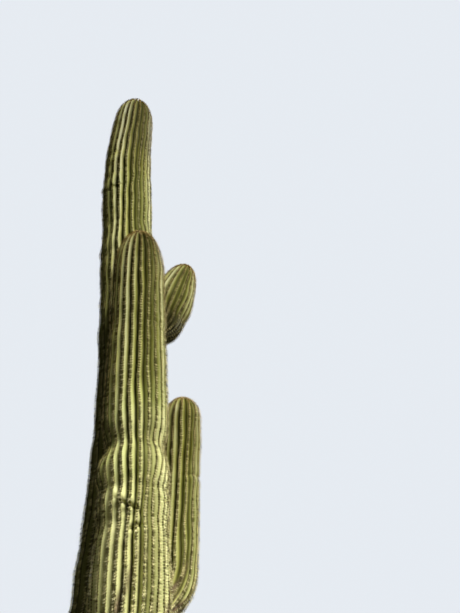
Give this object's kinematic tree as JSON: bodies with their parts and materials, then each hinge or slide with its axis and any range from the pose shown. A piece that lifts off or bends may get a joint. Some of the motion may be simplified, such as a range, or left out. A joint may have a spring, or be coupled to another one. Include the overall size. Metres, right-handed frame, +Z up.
{
  "type": "saguaro cactus",
  "caption": "Tall ribbed column cactus with a tapering trunk that leans near its top, and upturned ribbed arms that leave it by narrow necks, each with a rounded woolly tip.",
  "frame": {"origin": "centre of the flat cut under the trunk, at ground level", "axes": "+Z up along the foot of the trunk; -Y towards the large arm; +X towards the two small arms, with the trunk's tip leaning to -X"},
  "size_m": [1.125, 1.4247, 8.6306],
  "materials": {
    "stem_skin": "waxy olive-green cactus skin over a woody core, satin on the ribs and matt in the grooves",
    "crown_wool": "short tan plant wool and soft young spines"
  },
  "bodies": {
    "root": {"trunk": "stem_skin", "trunk_crown": "crown_wool", "front_arm_elbow": "stem_skin", "front_arm_stem": "stem_skin", "front_arm_crown": "crown_wool", "side_arm_elbow": "stem_skin", "side_arm_stem": "stem_skin", "side_arm_crown": "crown_wool", "rear_arm_elbow": "stem_skin", "rear_arm_stem": "stem_skin", "rear_arm_crown": "crown_wool"}
  },
  "joints": []
}
